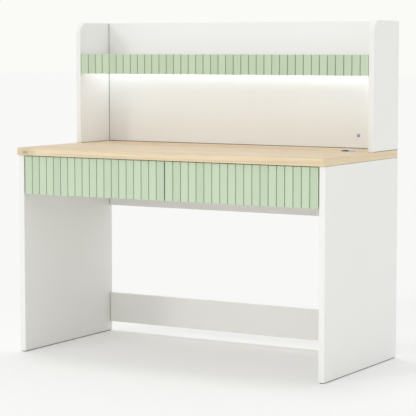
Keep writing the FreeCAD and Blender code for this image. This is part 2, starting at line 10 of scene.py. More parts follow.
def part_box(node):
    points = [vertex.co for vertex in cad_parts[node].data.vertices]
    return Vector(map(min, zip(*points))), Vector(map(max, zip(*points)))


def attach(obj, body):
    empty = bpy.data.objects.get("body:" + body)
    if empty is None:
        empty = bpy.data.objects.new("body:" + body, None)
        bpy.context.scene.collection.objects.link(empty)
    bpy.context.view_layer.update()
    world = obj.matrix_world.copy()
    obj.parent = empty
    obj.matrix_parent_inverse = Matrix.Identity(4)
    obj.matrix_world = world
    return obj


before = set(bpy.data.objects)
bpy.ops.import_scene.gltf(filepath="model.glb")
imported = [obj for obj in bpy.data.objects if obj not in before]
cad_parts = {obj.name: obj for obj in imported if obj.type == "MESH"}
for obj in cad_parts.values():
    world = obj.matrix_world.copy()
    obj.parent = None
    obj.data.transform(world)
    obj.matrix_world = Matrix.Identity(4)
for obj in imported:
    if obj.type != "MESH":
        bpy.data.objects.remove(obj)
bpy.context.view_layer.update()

bl_info = {
    "name": "Student Desk Finishes",
    "version": (1, 0, 0),
    "blender": (4, 5, 0),
    "location": "3D View > Sidebar > Desk",
    "description": "Finishes, small fittings and studio for a student desk with a hutch",
    "category": "Object",
}

MM = 0.001
LEFT, RIGHT = Vector((-1, 0, 0)), Vector((1, 0, 0))
FRONT, REAR = Vector((0, -1, 0)), Vector((0, 1, 0))
DOWN = Vector((0, 0, -1))
SIDES = {"left": LEFT, "right": RIGHT}
DRAWERS = ("left_drawer", "right_drawer")
# Strips between the grooves of each grooved front.
STRIPS = {"left_drawer_front": 19, "right_drawer_front": 19, "hutch_fascia": 38}
# Share of a screw head's rise that is rounded.
FLUSH_DOME, PAN_DOME = 0.6, 0.8
# A wave texture of scale 1 repeats after this length.
WAVE_REPEAT = math.tau / 20
# A distance that takes in the whole desk from its middle.
FAR = 1.0


def colour(code):
    """Linear colour of an sRGB hex value."""
    shares = [int(code[start:start + 2], 16) / 255 for start in (0, 2, 4)]
    linear = [s / 12.92 if s <= 0.04045 else ((s + 0.055) / 1.055) ** 2.4 for s in shares]
    return (*linear, 1.0)


def scaled(tint, share):
    """Opaque colour with its light scaled by a share."""
    return (*[min(1.0, part * share) for part in tint[:3]], 1.0)


def swatch(name, description, code):
    """Colour property with an sRGB hex default."""
    return bpy.props.FloatVectorProperty(
        name=name, description=description, subtype="COLOR", size=4, min=0.0, max=1.0, default=colour(code))


def amount(name, description, default, **settings):
    """Number property that is never negative."""
    return bpy.props.FloatProperty(name=name, description=description, min=0.0, default=default, **settings)


def length(name, description, millimetres):
    """Length property with a default in millimetres."""
    return amount(name, description, millimetres * MM, unit="LENGTH", precision=5)


class DeskFinishes(bpy.types.PropertyGroup):
    """Colours of the boards, lacquer, plastics and metals."""

    white: swatch("White melamine", "Faces and edges of the white boards", "F7F7F4")
    # The core colour also paints the shade lines under the desktop's edge and at the foot of the hutch sides.
    core: swatch("Board core", "Raw particle board where a shadow line is cut", "6B5844")
    maple_light: swatch("Maple, early wood", "Palest fibres of the desktop", "F4E5C9")
    maple_mid: swatch("Maple, ground", "Ground colour of the desktop", "ECD9B6")
    maple_dark: swatch("Maple, late wood", "Growth lines of the desktop", "CDB288")
    maple_knot: swatch("Maple, knot", "Knot in the desktop's front edge", "A98D66")
    maple_glaze: swatch("Maple, glaze", "Tone laid over the top sheet at the front", "EFECED")
    # Painted shade: the rear tone stands in for the dim, warm light between the hutch and the desktop.
    maple_rear_shade: swatch("Maple, glaze at the rear", "Tone laid over the top sheet at the rear", "EEE3DC")
    sage: swatch("Sage lacquer", "Drawer fronts and fascia", "C9DABF")
    # The groove colour is partly pooled lacquer and partly painted shade.
    sage_groove: swatch("Sage lacquer in the grooves", "Lacquer pooled at the foot of a groove", "AFC2A7")
    drawer_white: swatch("Drawer melamine", "Drawer box boards", "ECEAE3")
    hardboard: swatch("Hardboard", "Painted face of the drawer bottoms", "E0DACB")
    zinc: swatch("Zinc plate", "Slides, cams, bolts and brackets", "C3C7C9")
    aluminium: swatch("Anodised aluminium", "Light channel", "CBCDCE")
    opal: swatch("Opal acrylic", "Light diffuser", "F6F6F0")
    lamp: swatch("Lamp light", "Light of the lit diffuser", "E6F0FF")
    acetal: swatch("Acetal", "Bearing strips", "E8E7E0")
    light_grey: swatch("Light grey plastic", "Cable grommet and end caps", "DADDE4")
    black: swatch("Black plastic", "Glides, levers and bristles", "1E1F21")
    steel: swatch("Satin steel", "Ring of the touch switch", "C6CAD2")
    smoke_blue: swatch("Smoky blue glass", "Touch face of the switch", "9DA0D6")
    clear_rubber: swatch("Clear rubber", "Drawer bumpers", "DDE0DC")


class FittingSizes(bpy.types.PropertyGroup):
    """Sizes of the small fittings."""

    board_screw: length("Board screw head", "Diameter of the countersunk heads", 7.0)
    pan_screw: length("Pan screw head", "Diameter of the pan heads", 7.5)
    pan_rise: length("Pan head rise", "Height of the pan heads", 2.0)
    flush_rise: length("Countersunk rise", "How far a countersunk head stands proud", 0.5)
    rail_rise: length("Rail screw rise", "Height of the heads in the slide rails", 1.4)
    bumper: length("Bumper", "Diameter of the drawer bumpers", 6.0)
    bumper_rise: length("Bumper rise", "Height of the drawer bumpers", 2.5)
    bristle: length("Bristle", "Thickness of a bristle in the cable slot", 0.85)
    lever: length("Lever", "Length of a slide's release lever", 42.0)


class StudioSettings(bpy.types.PropertyGroup):
    """Light, backdrop and camera of the studio."""

    backdrop: swatch("Backdrop", "Colour of the backdrop", "FAFBF6")
    floor: swatch("Floor", "Colour of the floor", "FBFBFA")
    sky: amount("Sky level", "Light from all round, where 1 is white", 0.785)
    fill: amount("Fill level", "Light from the front, as a share of white where it falls square", 0.105)
    key: amount("Key level", "Light from overhead, as a share of white where it falls square", 0.15)
    card: amount("Card power", "Light of the low card in front of the desk", 0.45, unit="POWER", precision=3)
    floor_lift: amount("Shadow lift", "Share of the floor's shadow that the backdrop hides", 0.2,
                       max=1.0, subtype="FACTOR")
    rear_lamp: amount("Rear lamp level", "Brightness of the long diffuser, where 1 is white", 11.8)
    side_lamp: amount("Side lamp level", "Brightness of the short diffusers, where 1 is white", 4.9)
    lens: amount("Lens", "Focal length of the camera", 149.73, unit="CAMERA")


def per(millimetres):
    """Texture scale for a feature of that size in Object coordinates."""
    return 1 / (millimetres * MM)


def scales(sizes):
    """Texture scales for a feature with a size along each axis, in millimetres."""
    return [per(size) for size in sizes]


def along(start, end, share):
    """Number at a share of the way from start to end."""
    return start + share * (end - start)


def start_material(name):
    """New material with an empty node tree."""
    material = bpy.data.materials.new(name)
    material.use_nodes = True
    material.node_tree.nodes.clear()
    return material, material.node_tree


def add(tree, kind, inputs=None, **settings):
    """Add a node with its settings and set or link its inputs; a node as a source gives its first output."""
    node = tree.nodes.new(kind)
    for name, setting in settings.items():
        setattr(node, name, setting)
    for socket, source in (inputs or {}).items():
        if isinstance(source, bpy.types.Node):
            source = source.outputs[0]
        if isinstance(source, bpy.types.NodeSocket):
            tree.links.new(source, node.inputs[socket])
        else:
            node.inputs[socket].default_value = source
    return node


def start_pattern(name):
    """New material, with the Object coordinates that its pattern is drawn in."""
    material, tree = start_material(name)
    return material, tree, add(tree, "ShaderNodeTexCoord").outputs["Object"]


def within(tree, place, low, high):
    """Mask that is 1 inside a box, and inside its mirror images across the three middle planes."""
    middle, half = (low + high) / 2, (high - low) / 2
    mirrored = add(tree, "ShaderNodeVectorMath", {0: place}, operation="ABSOLUTE")
    offset = add(tree, "ShaderNodeVectorMath", {0: mirrored, 1: middle}, operation="SUBTRACT")
    distance = add(tree, "ShaderNodeVectorMath", {0: offset}, operation="ABSOLUTE")
    share = add(tree, "ShaderNodeVectorMath", {0: distance, 1: half}, operation="DIVIDE")
    axes = add(tree, "ShaderNodeSeparateXYZ", {0: share})
    widest = add(tree, "ShaderNodeMath", {0: axes.outputs[0], 1: axes.outputs[1]}, operation="MAXIMUM")
    widest = add(tree, "ShaderNodeMath", {0: widest, 1: axes.outputs[2]}, operation="MAXIMUM")
    return add(tree, "ShaderNodeMath", {0: widest, 1: 1.0}, operation="LESS_THAN").outputs[0]


def white_melamine(name, white, core=None, core_box=None):
    """Melamine pressed on board with a pearl plate: even and satin, with a faint unevenness in its sheen."""
    cloud_size, chip_size, pearl_size = 380, 6, 3
    material, tree, place = start_pattern(name)
    cloud = add(tree, "ShaderNodeTexNoise", {"Vector": place, "Scale": per(cloud_size), "Detail": 2.0})
    face = add(tree, "ShaderNodeMix", {0: cloud, 6: scaled(white, 0.975), 7: tuple(white)}, data_type="RGBA")
    tint = face.outputs[2]
    # Inside the box the face takes the core colour: bare core on cut edges, and painted shade where a caller
    # lays a box along a joint.
    if core_box:
        # Chips of the raw core are drawn coarser than they are, so that they show.
        chips = add(tree, "ShaderNodeTexNoise", {"Vector": place, "Scale": per(chip_size), "Detail": 4.0})
        raw = add(tree, "ShaderNodeMix", {0: chips, 6: scaled(core, 0.6), 7: tuple(core)}, data_type="RGBA")
        bare = within(tree, place, *core_box)
        tint = add(tree, "ShaderNodeMix", {0: bare, 6: tint, 7: raw.outputs[2]}, data_type="RGBA").outputs[2]
    # The pearl is drawn coarser than it is, so that it breaks up the sheen.
    pearl = add(tree, "ShaderNodeTexNoise", {"Vector": place, "Scale": per(pearl_size), "Detail": 3.0})
    sheen = add(tree, "ShaderNodeMapRange", {"Value": pearl, "To Min": 0.38, "To Max": 0.5})
    relief = add(tree, "ShaderNodeBump", {"Height": pearl, "Strength": 0.08, "Distance": 0.05 * MM})
    shader = add(tree, "ShaderNodeBsdfPrincipled", {
        "Base Color": tint, "Roughness": sheen, "Specular IOR Level": 0.35, "Normal": relief})
    add(tree, "ShaderNodeOutputMaterial", {"Surface": shader})
    return material


def maple_laminate(finishes):
    """Maple laminate, satin pressed: pale, with long soft growth lines and fine fibres along the board."""
    # Pattern sizes in millimetres: along the board, then across it both ways.
    fibre_size, tone_size, fade_size = (70, 1.6, 1.6), (600, 55, 55), (340, 38, 38)
    ring_gap, ring_centre, ring_stretch = 11, Vector((0, -90, -470)) * MM, (0.05, 1, 1)
    ring_power = 3.0
    knot_inset, knot_drop, knot_size = 40 * MM, 2 * MM, Vector((20, 20, 9)) * MM
    # Share of its normal from which a face counts as looking that way.
    square_on = 0.7
    low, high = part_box("desktop")
    material, tree, place = start_pattern("maple_laminate_satin")
    axes = add(tree, "ShaderNodeSeparateXYZ", {0: place})
    crossed = add(tree, "ShaderNodeCombineXYZ", {0: axes.outputs[1], 1: axes.outputs[0], 2: axes.outputs[2]})
    # The edge band on the two ends has its grain along the edge.
    normal = add(tree, "ShaderNodeSeparateXYZ", {0: add(tree, "ShaderNodeNewGeometry").outputs["Normal"]})
    sideways = add(tree, "ShaderNodeMath", {0: normal.outputs[0]}, operation="ABSOLUTE")
    at_end = add(tree, "ShaderNodeMath", {0: sideways, 1: square_on}, operation="GREATER_THAN")
    grain = add(tree, "ShaderNodeMix", {0: at_end, 4: place, 5: crossed}, data_type="VECTOR").outputs[1]
    # Growth rings run about an axis below the board, stretched along it.
    ring_place = add(tree, "ShaderNodeMapping", {
        "Vector": grain, "Location": ring_centre, "Scale": ring_stretch})
    rings = add(tree, "ShaderNodeTexWave", {
        "Vector": ring_place, "Scale": per(ring_gap) * WAVE_REPEAT, "Distortion": 7.0,
        "Detail": 3.0, "Detail Scale": 0.6}, wave_type="RINGS", rings_direction="X", wave_profile="SIN")
    # Fibres, drawn coarser than they are, and broad tones are many times as long as they are wide.
    fibre_place = add(tree, "ShaderNodeMapping", {"Vector": grain, "Scale": scales(fibre_size)})
    fibres = add(tree, "ShaderNodeTexNoise", {"Vector": fibre_place, "Scale": 1.0, "Detail": 4.0})
    tone_place = add(tree, "ShaderNodeMapping", {"Vector": grain, "Scale": scales(tone_size)})
    tones = add(tree, "ShaderNodeTexNoise", {"Vector": tone_place, "Scale": 1.0, "Detail": 3.0})
    broad = add(tree, "ShaderNodeMapRange", {"Value": tones, "From Min": 0.3, "From Max": 0.7})
    ground = add(tree, "ShaderNodeMix", {
        0: broad, 6: tuple(finishes.maple_mid), 7: tuple(finishes.maple_light)}, data_type="RGBA")
    # The growth lines are narrow, and fade in and out along the board.
    fade_place = add(tree, "ShaderNodeMapping", {"Vector": grain, "Scale": scales(fade_size)})
    fade = add(tree, "ShaderNodeTexNoise", {"Vector": fade_place, "Scale": 1.0, "Detail": 2.0})
    strength = add(tree, "ShaderNodeMapRange", {
        "Value": fade, "From Min": 0.35, "From Max": 0.68, "To Min": 0.04, "To Max": 0.42})
    line = add(tree, "ShaderNodeMath", {0: rings.outputs["Fac"], 1: ring_power}, operation="POWER")
    line_share = add(tree, "ShaderNodeMath", {0: line, 1: strength}, operation="MULTIPLY")
    lined = add(tree, "ShaderNodeMix", {
        0: line_share, 6: ground.outputs[2], 7: tuple(finishes.maple_dark)}, data_type="RGBA")
    fibre_share = add(tree, "ShaderNodeMapRange", {
        "Value": fibres, "From Min": 0.45, "From Max": 0.75, "To Max": 0.35})
    wood = add(tree, "ShaderNodeMix", {
        0: fibre_share, 6: lined.outputs[2], 7: tuple(finishes.maple_dark)}, data_type="RGBA")
    # A small knot in a stained patch shows in the front edge band, near its left end.
    heart = Vector((low.x + knot_inset, low.y, (low.z + high.z) / 2 - knot_drop))
    offset = add(tree, "ShaderNodeVectorMath", {0: place, 1: heart}, operation="SUBTRACT")
    rounds = add(tree, "ShaderNodeVectorMath", {0: offset, 1: knot_size}, operation="DIVIDE")
    away = add(tree, "ShaderNodeVectorMath", {0: rounds}, operation="LENGTH").outputs["Value"]
    knot = add(tree, "ShaderNodeMapRange", {
        "Value": away, "From Min": 1.3, "From Max": 0.1, "To Max": 0.75}, interpolation_type="SMOOTHSTEP")
    stain = add(tree, "ShaderNodeMapRange", {
        "Value": away, "From Min": 2.8, "From Max": 1.4, "To Max": 0.26}, interpolation_type="SMOOTHSTEP")
    knot_share = add(tree, "ShaderNodeMath", {0: knot, 1: stain}, operation="MAXIMUM")
    wood = add(tree, "ShaderNodeMix", {
        0: knot_share, 6: wood.outputs[2], 7: tuple(finishes.maple_knot)}, data_type="RGBA")
    # The top sheet is a shade deeper than the edge band, and towards the rear a painted warm shade makes it
    # deeper and warmer.
    on_top = add(tree, "ShaderNodeMath", {0: normal.outputs[2], 1: square_on}, operation="GREATER_THAN")
    warm_from, warm_to = (low.y + high.y) / 2 - 50 * MM, high.y - 30 * MM
    rear_shade_share = add(tree, "ShaderNodeMapRange", {
        "Value": axes.outputs[1], "From Min": warm_from, "From Max": warm_to})
    top_tone_and_rear_shade = add(tree, "ShaderNodeMix", {
        0: rear_shade_share, 6: tuple(finishes.maple_glaze), 7: tuple(finishes.maple_rear_shade)}, data_type="RGBA")
    tint = add(tree, "ShaderNodeMix", {
        0: on_top, 6: wood.outputs[2], 7: top_tone_and_rear_shade.outputs[2]}, data_type="RGBA", blend_type="MULTIPLY")
    sheen = add(tree, "ShaderNodeMapRange", {"Value": fibres, "To Min": 0.46, "To Max": 0.6})
    relief = add(tree, "ShaderNodeBump", {"Height": fibres, "Strength": 0.15, "Distance": 0.08 * MM})
    shader = add(tree, "ShaderNodeBsdfPrincipled", {
        "Base Color": tint.outputs[2], "Roughness": sheen, "Specular IOR Level": 0.25, "Normal": relief})
    add(tree, "ShaderNodeOutputMaterial", {"Surface": shader})
    return material


def sage_lacquer(name, finishes, node, strips):
    """Sprayed matt lacquer on grooved board: each strip a breath lighter or darker, deeper in the grooves."""
    spray_size, pool_from, pool_to = 2, 0.4 * MM, 3.5 * MM
    low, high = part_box(node)
    pitch = (high.x - low.x) / strips
    material, tree, place = start_pattern(name)
    axes = add(tree, "ShaderNodeSeparateXYZ", {0: place})
    across = add(tree, "ShaderNodeMath", {0: axes.outputs[0], 1: low.x}, operation="SUBTRACT")
    count = add(tree, "ShaderNodeMath", {0: across, 1: pitch}, operation="DIVIDE")
    strip = add(tree, "ShaderNodeMath", {0: count}, operation="FLOOR")
    chance = add(tree, "ShaderNodeTexWhiteNoise", {"W": strip}, noise_dimensions="1D")
    deeper, paler = scaled(finishes.sage, 0.96), scaled(finishes.sage, 1.04)
    face = add(tree, "ShaderNodeMix", {0: chance.outputs["Value"], 6: deeper, 7: paler}, data_type="RGBA")
    # Darker with depth behind the front face, in the grooves and gaps: pooled lacquer, and painted shade in
    # the recesses.
    depth = add(tree, "ShaderNodeMapRange", {
        "Value": axes.outputs[1], "From Min": low.y + pool_from, "From Max": low.y + pool_to})
    front = add(tree, "ShaderNodeMath", {0: axes.outputs[1], 1: (low.y + high.y) / 2}, operation="LESS_THAN")
    pooled_and_shaded = add(tree, "ShaderNodeMath", {0: depth, 1: front}, operation="MULTIPLY")
    tint = add(tree, "ShaderNodeMix", {
        0: pooled_and_shaded, 6: face.outputs[2], 7: tuple(finishes.sage_groove)}, data_type="RGBA")
    # Spray texture is drawn coarser than it is, so that it shows in the sheen.
    spray = add(tree, "ShaderNodeTexNoise", {"Vector": place, "Scale": per(spray_size), "Detail": 2.0})
    sheen = add(tree, "ShaderNodeMapRange", {"Value": spray, "To Min": 0.5, "To Max": 0.62})
    relief = add(tree, "ShaderNodeBump", {"Height": spray, "Strength": 0.1, "Distance": 0.05 * MM})
    shader = add(tree, "ShaderNodeBsdfPrincipled", {
        "Base Color": tint.outputs[2], "Roughness": sheen, "Specular IOR Level": 0.3, "Normal": relief})
    add(tree, "ShaderNodeOutputMaterial", {"Surface": shader})
    return material


def painted_hardboard(finishes):
    """Pressed fibre board with a thin coat of paint: matt, with short felted fibres showing through."""
    # Fibres are drawn coarser than they are, so that they show.
    fibre_size = (9, 3, 3)
    material, tree, place = start_pattern("hardboard_painted")
    felt_place = add(tree, "ShaderNodeMapping", {"Vector": place, "Scale": scales(fibre_size)})
    felt = add(tree, "ShaderNodeTexNoise", {
        "Vector": felt_place, "Scale": 1.0, "Detail": 5.0, "Distortion": 0.6})
    tint = add(tree, "ShaderNodeMix", {
        0: felt, 6: scaled(finishes.hardboard, 0.88), 7: tuple(finishes.hardboard)}, data_type="RGBA")
    relief = add(tree, "ShaderNodeBump", {"Height": felt, "Strength": 0.2, "Distance": 0.1 * MM})
    shader = add(tree, "ShaderNodeBsdfPrincipled", {
        "Base Color": tint.outputs[2], "Roughness": 0.7, "Specular IOR Level": 0.25, "Normal": relief})
    add(tree, "ShaderNodeOutputMaterial", {"Surface": shader})
    return material


def rolled_metal(name, tint, line_size, smooth, rough):
    """Plated, anodised or satin metal: a cool grey with fine lines along the way it was rolled or drawn."""
    cloud_size = 14
    material, tree, place = start_pattern(name)
    # The lines are drawn coarser than they are, so that they show.
    line_place = add(tree, "ShaderNodeMapping", {"Vector": place, "Scale": scales(line_size)})
    lines = add(tree, "ShaderNodeTexNoise", {"Vector": line_place, "Scale": 1.0, "Detail": 3.0})
    cloud = add(tree, "ShaderNodeTexNoise", {"Vector": place, "Scale": per(cloud_size), "Detail": 2.0})
    face = add(tree, "ShaderNodeMix", {0: cloud, 6: scaled(tint, 0.85), 7: tuple(tint)}, data_type="RGBA")
    sheen = add(tree, "ShaderNodeMapRange", {"Value": lines, "To Min": smooth, "To Max": rough})
    relief = add(tree, "ShaderNodeBump", {"Height": lines, "Strength": 0.1, "Distance": 0.03 * MM})
    shader = add(tree, "ShaderNodeBsdfPrincipled", {
        "Base Color": face.outputs[2], "Metallic": 1.0, "Roughness": sheen, "Normal": relief})
    add(tree, "ShaderNodeOutputMaterial", {"Surface": shader})
    return material


def moulded_plastic(name, tint, roughness):
    """Injection-moulded plastic from a spark-eroded tool: matt, with a fine even grain."""
    # The grain is drawn coarser than it is, so that it shows in the sheen.
    grain_size, roughness_play = 1.2, 0.06
    material, tree, place = start_pattern(name)
    spark = add(tree, "ShaderNodeTexNoise", {"Vector": place, "Scale": per(grain_size), "Detail": 3.0})
    face = add(tree, "ShaderNodeMix", {0: spark, 6: scaled(tint, 0.92), 7: tuple(tint)}, data_type="RGBA")
    sheen = add(tree, "ShaderNodeMapRange", {
        "Value": spark, "To Min": roughness - roughness_play, "To Max": roughness + roughness_play})
    relief = add(tree, "ShaderNodeBump", {"Height": spark, "Strength": 0.15, "Distance": 0.05 * MM})
    shader = add(tree, "ShaderNodeBsdfPrincipled", {
        "Base Color": face.outputs[2], "Roughness": sheen, "IOR": 1.48, "Normal": relief})
    add(tree, "ShaderNodeOutputMaterial", {"Surface": shader})
    return material


def opal_acrylic(finishes, studio):
    """Extruded opal acrylic lit from behind: an even white glow from a faintly cloudy face."""
    haze_size, rear_bar_depth = 30, 18 * MM
    material, tree, place = start_pattern("opal_acrylic_lit")
    # The two short side bars glow less than the long one at the rear.
    axes = add(tree, "ShaderNodeSeparateXYZ", {0: place})
    bar_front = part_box("light_diffuser")[1].y - rear_bar_depth
    rear = add(tree, "ShaderNodeMath", {0: axes.outputs[1], 1: bar_front}, operation="GREATER_THAN")
    glow = add(tree, "ShaderNodeMapRange", {
        "Value": rear, "To Min": studio.side_lamp, "To Max": studio.rear_lamp})
    haze = add(tree, "ShaderNodeTexNoise", {"Vector": place, "Scale": per(haze_size), "Detail": 2.0})
    face = add(tree, "ShaderNodeMix", {
        0: haze, 6: scaled(finishes.opal, 0.94), 7: tuple(finishes.opal)}, data_type="RGBA")
    shader = add(tree, "ShaderNodeBsdfPrincipled", {
        "Base Color": face.outputs[2], "Roughness": 0.5, "IOR": 1.49,
        "Emission Color": tuple(finishes.lamp), "Emission Strength": glow})
    add(tree, "ShaderNodeOutputMaterial", {"Surface": shader})
    return material


def smoked_glass(finishes):
    """Tinted glass, polished: a smooth smoky blue that deepens towards its rim."""
    even_radius = 1.5 * MM
    low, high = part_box("switch_touch_face")
    material, tree, place = start_pattern("smoky_blue_glass_polished")
    middle = add(tree, "ShaderNodeVectorMath", {0: place, 1: (low + high) / 2}, operation="DISTANCE")
    rim = add(tree, "ShaderNodeMapRange", {
        "Value": middle.outputs["Value"], "From Min": even_radius, "From Max": (high.x - low.x) / 2})
    tint = add(tree, "ShaderNodeMix", {
        0: rim, 6: tuple(finishes.smoke_blue), 7: scaled(finishes.smoke_blue, 0.7)}, data_type="RGBA")
    shader = add(tree, "ShaderNodeBsdfPrincipled", {
        "Base Color": tint.outputs[2], "Roughness": 0.15, "IOR": 1.5, "Coat Weight": 0.5,
        "Coat Roughness": 0.05})
    add(tree, "ShaderNodeOutputMaterial", {"Surface": shader})
    return material


def zinc_plate(finishes):
    """Zinc plate on pressed steel: a bright cool grey, one finish for all screws and fittings."""
    name, line_size = "zinc_plated_steel", (0.8, 60, 0.8)
    return bpy.data.materials.get(name) or rolled_metal(name, finishes.zinc, line_size, 0.3, 0.48)


def black_nylon(finishes):
    """Moulded black nylon: near black and dull, one finish for glides, levers and bristles."""
    name = "black_nylon_moulded"
    return bpy.data.materials.get(name) or moulded_plastic(name, finishes.black, 0.5)


def dress(material, *nodes):
    """Give CAD nodes a finish."""
    for name in nodes:
        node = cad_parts[name]
        if not node.material_slots:
            node.data.materials.append(material)
        for holder in node.material_slots:
            holder.material = material


def select_only(*items):
    """Select these objects and nothing else."""
    bpy.ops.object.select_all(action="DESELECT")
    for item in items:
        item.select_set(True)
    if items:
        bpy.context.view_layer.objects.active = items[0]


def pick(piece, kind, test):
    """Select the faces or edges of a piece in edit mode whose middle passes a test."""
    bpy.ops.mesh.select_mode(type=kind)
    bpy.ops.mesh.select_all(action="DESELECT")
    mesh = bmesh.from_edit_mesh(piece.data)
    for item in mesh.faces if kind == "FACE" else mesh.edges:
        middle = sum((corner.co for corner in item.verts), Vector()) / len(item.verts)
        item.select_set(test(middle, item))
    mesh.select_flush_mode()
    bmesh.update_edit_mesh(piece.data)


def facing(point, direction):
    """Matrix that takes a model standing on the origin to a point, with its top in a direction."""
    return Matrix.Translation(point) @ direction.to_track_quat("Z", "Y").to_matrix().to_4x4()


def spread(model, name, places):
    """Copy a model to each place, join the copies into one piece and remove the model."""
    copies = []
    for place in places:
        select_only(model)
        bpy.ops.object.duplicate()
        bpy.context.object.matrix_world = place
        copies.append(bpy.context.object)
    select_only(*copies)
    if len(copies) > 1:
        bpy.ops.object.join()
    bpy.ops.object.transform_apply()
    piece = bpy.context.object
    piece.name = piece.data.name = name
    bpy.data.meshes.remove(model.data)
    return piece


def settle(piece, body, material):
    """Finish a new piece and let it ride on a body."""
    select_only(piece)
    bpy.ops.object.shade_smooth_by_angle(angle=math.radians(35))
    piece.data.materials.clear()
    piece.data.materials.append(material)
    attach(piece, body)


def model_cylinder(vertices, radius, height):
    """Cylinder standing on the origin."""
    select_only()
    bpy.ops.mesh.primitive_cylinder_add(
        vertices=vertices, radius=radius, depth=height, location=(0, 0, height / 2))
    bpy.ops.object.transform_apply()
    return bpy.context.object


def round_rim(piece, height, share, segments):
    """Round the upper rim of a standing cylinder over a share of its height."""
    bpy.ops.object.mode_set(mode="EDIT")
    pick(piece, "EDGE", lambda middle, edge: all(corner.co.z > height * 0.9 for corner in edge.verts))
    bpy.ops.mesh.bevel(offset=height * share, segments=segments, profile=0.5, affect="EDGES")
    bpy.ops.object.mode_set(mode="OBJECT")


def model_screw(diameter, rise, dome):
    """Screw head with a cross recess, standing on the origin; dome is the rounded share of its rise."""
    arm, reach, depth = diameter * 0.09, diameter * 0.2, rise * 0.7
    head = model_cylinder(24, diameter / 2, rise)
    round_rim(head, rise, dome, segments=3)

    select_only()
    bpy.ops.mesh.primitive_cube_add(size=2 * arm, location=(0, 0, rise))
    cross = bpy.context.object
    cross.scale.z = depth / arm
    bpy.ops.object.transform_apply()
    bpy.ops.object.mode_set(mode="EDIT")
    pick(cross, "FACE", lambda middle, face: abs(face.normal.z) < 0.5)
    bpy.ops.mesh.extrude_faces_move(TRANSFORM_OT_shrink_fatten={"value": reach})
    bpy.ops.object.mode_set(mode="OBJECT")

    select_only(head)
    recess = head.modifiers.new("recess", "BOOLEAN")
    recess.operation = "DIFFERENCE"
    recess.object = cross
    recess.solver = "EXACT"
    bpy.ops.object.modifier_apply(modifier=recess.name)
    bpy.data.meshes.remove(cross.data)
    return head


def drive_screws(name, body, places, diameter, rise, dome):
    """Put a screw at each place, joined into one piece that rides on a body."""
    piece = spread(model_screw(diameter, rise, dome), name, places)
    settle(piece, body, zinc_plate(bpy.context.scene.desk_finishes))


def model_lever(span):
    """Release lever lying on the origin, with its tip bent up towards the front."""
    thick, tall, edge_radius = 2.2 * MM, 7 * MM, 0.5 * MM
    # Reach as a share of the span, rise as a share of the thickness, and narrowing of each bend.
    bends = ((0.2, 0.2, 0.9), (0.14, 0.6, 0.95), (0.1, 0.9, 1.0))
    select_only()
    bpy.ops.mesh.primitive_cube_add(size=1, location=(0, 0, thick / 2), scale=(tall, span / 2, thick))
    lever = bpy.context.object
    bpy.ops.object.transform_apply()
    bpy.ops.object.mode_set(mode="EDIT")
    pick(lever, "FACE", lambda middle, face: face.normal.y < -0.5)
    for reach, rise, narrowing in bends:
        bpy.ops.mesh.extrude_region_move(TRANSFORM_OT_translate={"value": (0, -span * reach, thick * rise)})
        bpy.ops.transform.resize(value=(narrowing, 1, 1))
    bpy.ops.object.mode_set(mode="OBJECT")
    rounding = lever.modifiers.new("rounding", "BEVEL")
    rounding.width = edge_radius
    rounding.segments = 2
    bpy.ops.object.modifier_apply(modifier=rounding.name)
    return lever


def rail_web(drawer, side):
    """Box of an inner rail and the x of its web's outer face, where screws and levers sit."""
    sheet = 1.2 * MM
    low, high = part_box(f"{drawer}_{side}_inner_rail")
    return low, high, high.x - sheet if side == "left" else low.x + sheet


class DESK_OT_white_boards(bpy.types.Operator):
    """Face the white boards with melamine"""

    bl_idname = "desk.white_boards"
    bl_label = "White boards"

    def execute(self, context):
        finishes = context.scene.desk_finishes
        dress(white_melamine("white_melamine_pearl", finishes.white), "centre_divider", "hutch_shelf")
        # Painted shade: a fine line in core colour, where an upright board meets the desktop, stands in for
        # the shadow along the joint.
        panel_shade_line, hutch_shade_line, front_stop, past = 0.7 * MM, 1.4 * MM, 4 * MM, 1 * MM
        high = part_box("left_side_panel")[1]
        top = (Vector((-FAR, -FAR, high.z - panel_shade_line)), Vector((FAR, FAR, high.z + past)))
        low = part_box("hutch_left_side")[0]
        foot = (Vector((-FAR, low.y + front_stop, low.z - past)), Vector((FAR, FAR, low.z + hutch_shade_line)))
        # The cut edges of the back and the ends of the cross boards show raw core between thin faces.
        face, top_band, end_cut = 0.4 * MM, 1.5 * MM, 2.2 * MM
        low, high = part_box("hutch_back_panel")
        rim = (Vector((-FAR, low.y + face, low.z - FAR)), Vector((FAR, high.y - face, high.z - top_band)))
        low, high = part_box("rear_apron")
        ends = (Vector((high.x - end_cut, low.y + face, -FAR)), Vector((high.x + FAR, high.y - face, FAR)))
        boards = (
            ("white_melamine_panel", top, ("left_side_panel", "right_side_panel")),
            ("white_melamine_hutch", foot, ("hutch_left_side", "hutch_right_side")),
            ("white_melamine_back", rim, ("hutch_back_panel",)),
            ("white_melamine_cross", ends, ("rear_apron", "lower_stretcher")))
        for name, core_box, nodes in boards:
            dress(white_melamine(name, finishes.white, finishes.core, core_box), *nodes)
        return {"FINISHED"}


class DESK_OT_desktop(bpy.types.Operator):
    """Face the desktop with maple laminate"""

    bl_idname = "desk.desktop"
    bl_label = "Desktop"

    def execute(self, context):
        dress(maple_laminate(context.scene.desk_finishes), "desktop")
        return {"FINISHED"}


class DESK_OT_grooved_fronts(bpy.types.Operator):
    """Lacquer the drawer fronts and the fascia"""

    bl_idname = "desk.grooved_fronts"
    bl_label = "Grooved fronts"

    def execute(self, context):
        finishes = context.scene.desk_finishes
        for node, strips in STRIPS.items():
            dress(sage_lacquer(f"sage_lacquer_{node}", finishes, node, strips), node)
        return {"FINISHED"}


